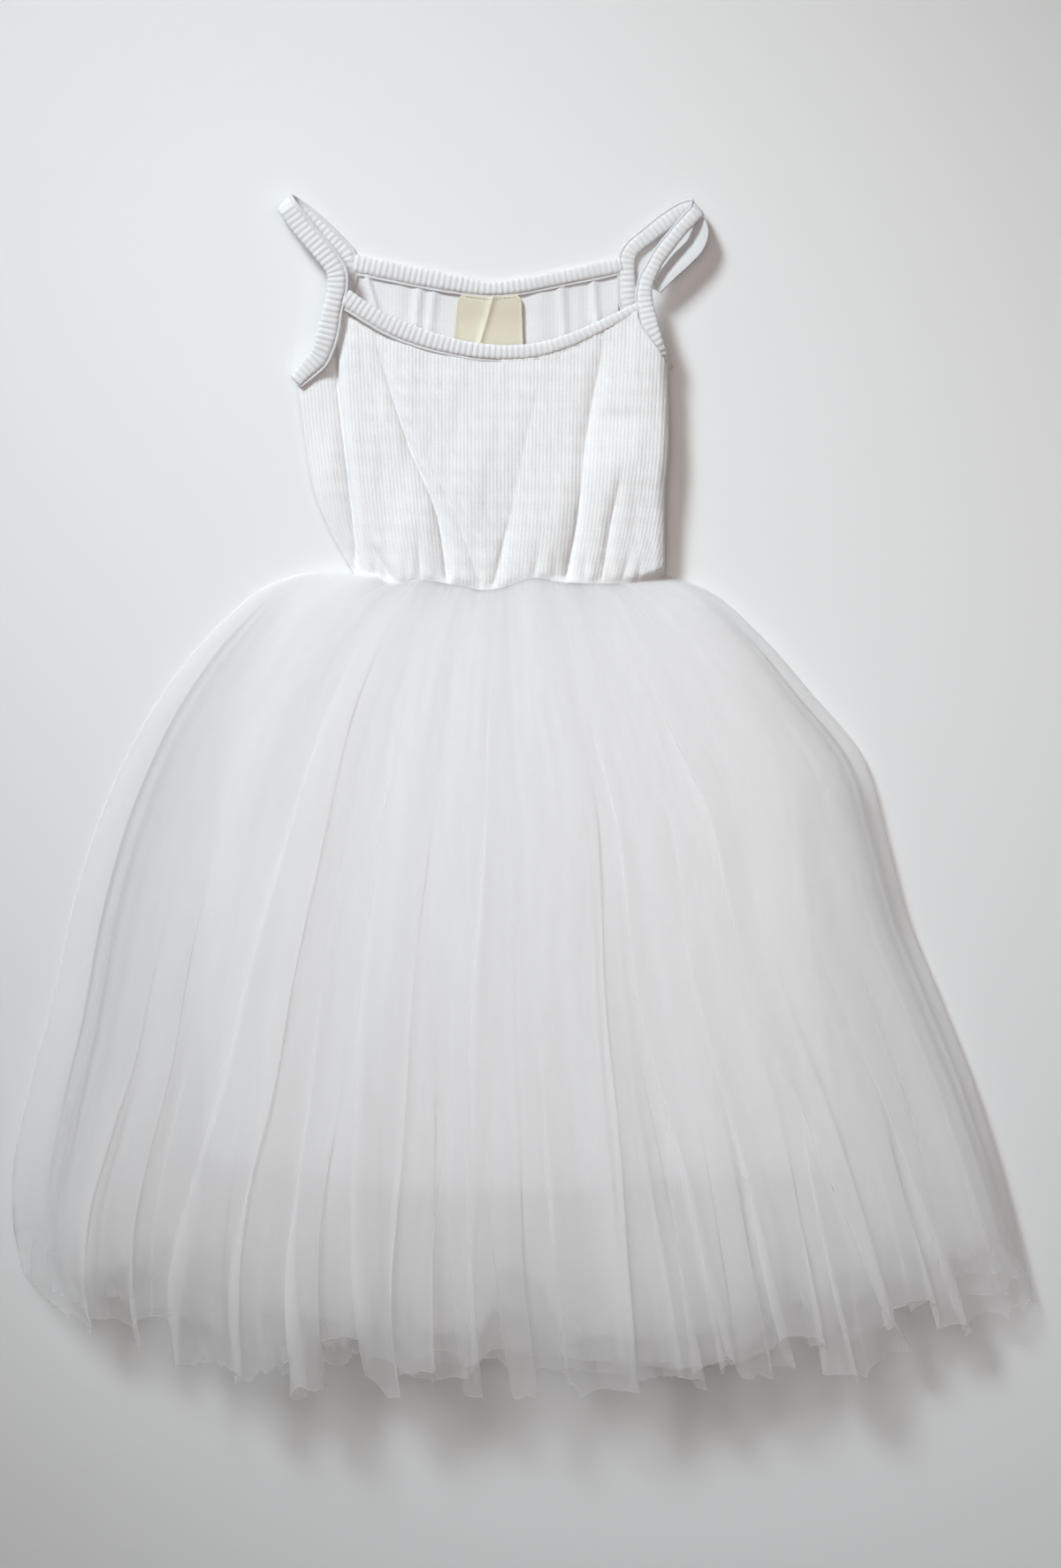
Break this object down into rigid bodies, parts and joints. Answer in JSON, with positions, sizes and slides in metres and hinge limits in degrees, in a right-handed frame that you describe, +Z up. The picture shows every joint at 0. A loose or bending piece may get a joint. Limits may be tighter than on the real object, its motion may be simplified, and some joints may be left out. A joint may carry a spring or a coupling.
{
  "type": "child's sleeveless tutu dress, laid flat",
  "caption": "Sleeveless dress for a small child, laid flat: rib-knit camisole bodice, bound neckline and straps, gathered skirt of soft tulle over a knit lining.",
  "frame": {"origin": "on the surface the dress lies on, under the middle of its outline", "axes": "+X across the dress to the picture's right, +Y from the hem to the shoulder straps, +Z up from the surface it lies on"},
  "size_m": [0.462, 0.5438, 0.0397],
  "materials": {
    "rib_knit": "fine white cotton rib knit, matte",
    "binding": "white rib-knit binding, matte, with cross ribs and a stitched edge",
    "lining": "plain white knit, matte",
    "tulle": "soft white tulle net, translucent, faint sheen",
    "label": "cream woven satin label, bare"
  },
  "bodies": {
    "root": {"bodice_front": "rib_knit", "bodice_back": "rib_knit", "neck_binding_front": "binding", "neck_binding_back": "binding", "strap_left": "binding", "strap_right": "binding", "label": "label", "lining_front": "lining", "lining_back": "lining", "tulle_outer_front": "tulle", "tulle_outer_back": "tulle", "tulle_middle_front": "tulle", "tulle_middle_back": "tulle", "tulle_inner_front": "tulle", "tulle_inner_back": "tulle"}
  },
  "joints": []
}
